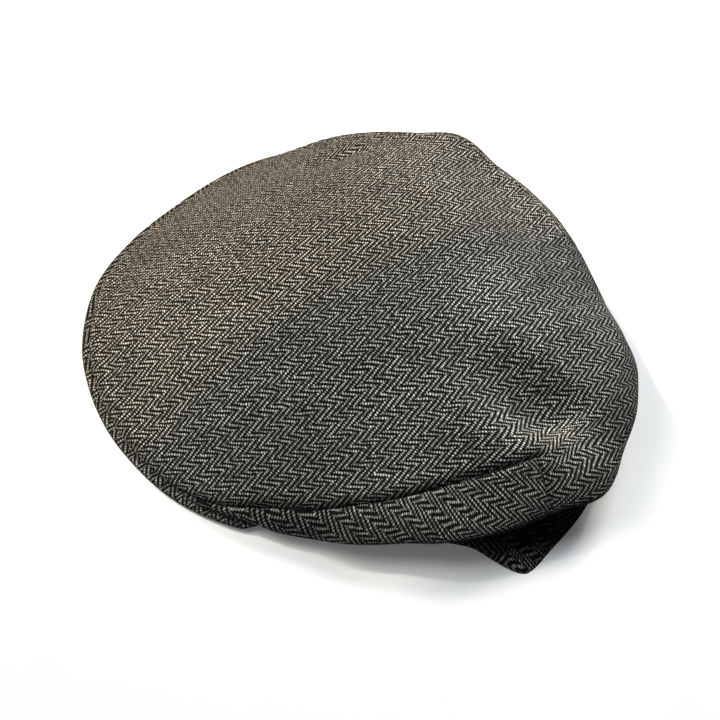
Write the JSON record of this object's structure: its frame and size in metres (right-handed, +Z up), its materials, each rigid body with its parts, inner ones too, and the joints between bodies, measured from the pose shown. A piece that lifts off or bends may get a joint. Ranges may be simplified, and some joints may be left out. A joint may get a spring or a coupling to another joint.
{
  "type": "flat cap",
  "caption": "Soft herringbone flat cap with a full one-piece crown falling over a low side band, a short stiff front peak under the crown, and an open head hollow.",
  "frame": {"origin": "middle of the cap's bounding box in plan, on the surface the cap rests on", "axes": "+Z up, -X to the front (peak), +X to the back, -Y to the wearer's left"},
  "size_m": [0.2624, 0.2146, 0.0761],
  "materials": {
    "crown_cloth": "herringbone wool, matt, slightly hairy",
    "band_cloth": "herringbone wool, matt, slightly hairy",
    "peak_cloth": "herringbone wool over a stiff board, matt"
  },
  "bodies": {
    "root": {"crown_top": "crown_cloth", "side_band_left": "band_cloth", "side_band_right": "band_cloth", "peak": "peak_cloth"}
  },
  "joints": []
}
